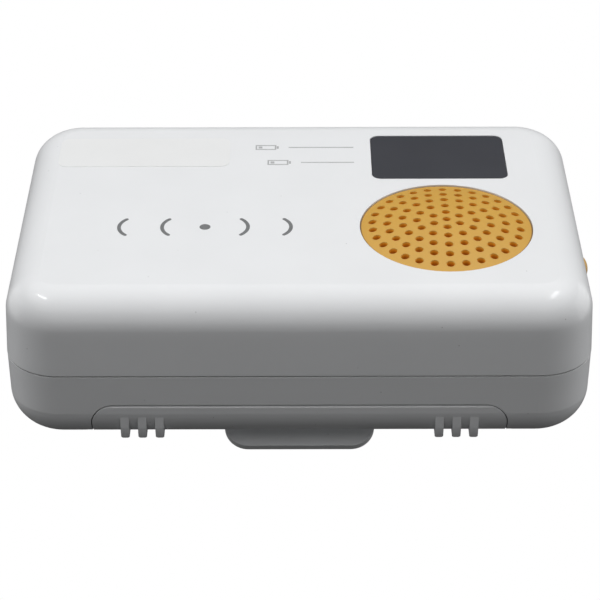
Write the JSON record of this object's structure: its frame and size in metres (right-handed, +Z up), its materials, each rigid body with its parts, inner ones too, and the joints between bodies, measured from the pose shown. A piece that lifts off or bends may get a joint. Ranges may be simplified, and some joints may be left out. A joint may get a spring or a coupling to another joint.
{
  "type": "pager",
  "caption": "Hand-held pager with a rounded two-part case, domed speaker grille, dark display window, side push button, sliding battery door and sprung belt clip.",
  "frame": {"origin": "middle of the footprint, on the outer face of the belt clip that the pager lies on", "axes": "+X to the user's right along the long side, +Y away from the battery-door edge, +Z up out of the face"},
  "size_m": [0.116, 0.078, 0.0398],
  "materials": {
    "white_abs": "fine satin moulded ABS",
    "amber_plastic": "satin moulded plastic",
    "smoked_acrylic": "polished smoked acrylic",
    "steel": "bright zinc plate",
    "board_laminate": "solder-masked glass laminate",
    "blue_laminate": "solder-masked glass laminate",
    "black_foam": "closed-cell foam",
    "ferrite": "bare sintered ferrite",
    "speaker_paper": "pressed paper",
    "red_insulation": "smooth insulation",
    "black_insulation": "smooth insulation",
    "black_plastic": "moulded epoxy",
    "cream_plastic": "moulded nylon",
    "red_lens": "clear tinted epoxy",
    "copper_wire": "enamelled copper",
    "cell_jacket": "printed film over a metal can"
  },
  "bodies": {
    "housing": {"front_cover": "white_abs", "rear_cover": "white_abs", "speaker_grille": "amber_plastic", "display_window": "smoked_acrylic", "clip_pin": "steel", "clip_spring": "steel", "case_screws": "steel", "board_screws": "steel", "battery_springs": "steel", "battery_plates": "steel", "speaker_frame": "steel", "main_board": "board_laminate", "receiver_module": "blue_laminate", "speaker_gasket": "black_foam", "speaker_magnet": "ferrite", "speaker_cone": "speaker_paper", "speaker_leads": "red_insulation", "battery_leads": "black_insulation", "display_module": "black_plastic", "board_parts": "black_plastic", "push_switch": "black_plastic", "indicator_leds": "red_lens", "antenna_coil": "copper_wire", "battery_cells": "cell_jacket"},
    "door": {"battery_door": "white_abs"},
    "clip": {"belt_clip": "white_abs"},
    "button": {"side_button": "amber_plastic", "switch_plunger": "cream_plastic"}
  },
  "joints": [
    {"name": "button_press", "type": "slide", "parent": "housing", "child": "button", "axis": [-1, 0, 0], "range_m": [0, 0.0005], "stiffness_N_per_m": 600, "springref_m": -0.001},
    {"name": "door_slide", "type": "slide", "parent": "housing", "child": "door", "axis": [0, -1, 0], "range_m": [0, 0.052]},
    {"name": "clip_hinge", "type": "hinge", "parent": "housing", "child": "clip", "pos_m": [0, 0.019, 0.0026], "axis": [1, 0, 0], "range_deg": [0, 12], "stiffness_Nm_per_rad": 0.15, "springref_deg": -57.3, "deforming": ["clip_spring"]}
  ]
}
